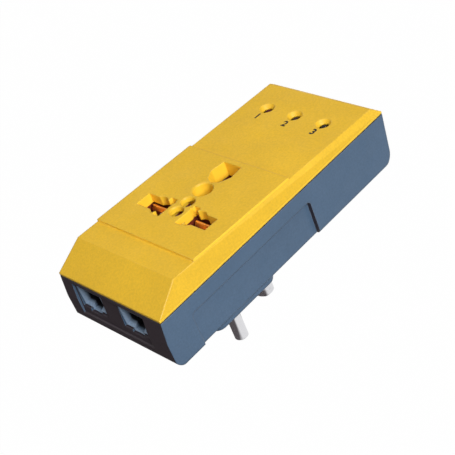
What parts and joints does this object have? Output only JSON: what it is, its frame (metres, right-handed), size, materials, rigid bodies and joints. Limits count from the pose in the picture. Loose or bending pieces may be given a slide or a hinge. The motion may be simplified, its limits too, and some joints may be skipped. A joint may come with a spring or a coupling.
{
  "type": "appliance voltage protector",
  "caption": "Plug-in voltage protector: round-pin plug below, universal outlet and indicator lights on top, telephone ports in front.",
  "frame": {"origin": "centre of the pin pattern on the plug face, midway between the power pins and the earth pin", "axes": "+Z out of the lid (the pins point to -Z), +Y towards the indicator lights, +X to the side that the picture shows"},
  "size_m": [0.052, 0.1132, 0.0572],
  "materials": {
    "lid_plastic": "satin moulded",
    "base_plastic": "fine spark texture",
    "pin_metal": "polished",
    "black_plastic": "matt",
    "screw_steel": "zinc plated",
    "carrier_plastic": "matt",
    "contact_brass": "pressed strip",
    "board": "green solder resist",
    "relay_foot": "matt",
    "relay_iron": "plated",
    "bobbin_plastic": "matt",
    "winding": "enamelled copper",
    "relay_shell": "glossy",
    "capacitor_shell": "glossy",
    "can_sleeve": "sleeved can",
    "varistor_coat": "dipped",
    "fuse_glass": "clear tube with plated caps",
    "trimmer_blue": "matt",
    "lamp_red": "tinted lens",
    "lamp_amber": "tinted lens",
    "lamp_green": "tinted lens",
    "port_plastic": "matt",
    "gilt_wire": "gilt spring wire",
    "surge_ceramic": "ceramic with plated ends",
    "lead_brown": "sheathed wire",
    "lead_blue": "sheathed wire",
    "lead_green": "sheathed wire"
  },
  "bodies": {
    "housing": {"lid": "lid_plastic", "base": "base_plastic", "line_pin": "pin_metal", "neutral_pin": "pin_metal", "earth_pin": "pin_metal", "pin_clamp": "black_plastic", "clamp_screws": "screw_steel", "contact_carrier": "carrier_plastic", "line_contact": "contact_brass", "neutral_contact": "contact_brass", "earth_contact": "contact_brass", "carrier_screws": "screw_steel", "case_screws": "screw_steel", "main_board": "board", "board_screws": "screw_steel", "relay_base": "relay_foot", "relay_yoke": "relay_iron", "relay_bobbin": "bobbin_plastic", "relay_winding": "winding", "relay_fixed_contact": "contact_brass", "relay_case": "relay_shell", "film_capacitor": "capacitor_shell", "smoothing_capacitor": "can_sleeve", "varistor": "varistor_coat", "fuse_link": "fuse_glass", "fuse_clips": "contact_brass", "control_chip": "black_plastic", "trimmer": "trimmer_blue", "lamp_left": "lamp_red", "lamp_middle": "lamp_amber", "lamp_right": "lamp_green", "port_board": "board", "port_in": "port_plastic", "port_out": "port_plastic", "port_wires": "gilt_wire", "surge_tubes": "surge_ceramic", "line_lead": "lead_brown", "switched_lead": "lead_brown", "neutral_lead": "lead_blue", "earth_lead": "lead_green"},
    "armature": {"relay_armature": "relay_iron", "relay_moving_contact": "contact_brass"}
  },
  "joints": [
    {"name": "relay_armature", "type": "hinge", "parent": "housing", "child": "armature", "pos_m": [-0.0122, 0.032, 0.0256], "axis": [-1, 0, 0], "range_deg": [0, 4.5], "stiffness_Nm_per_rad": 0.002, "springref_deg": -11.46}
  ]
}
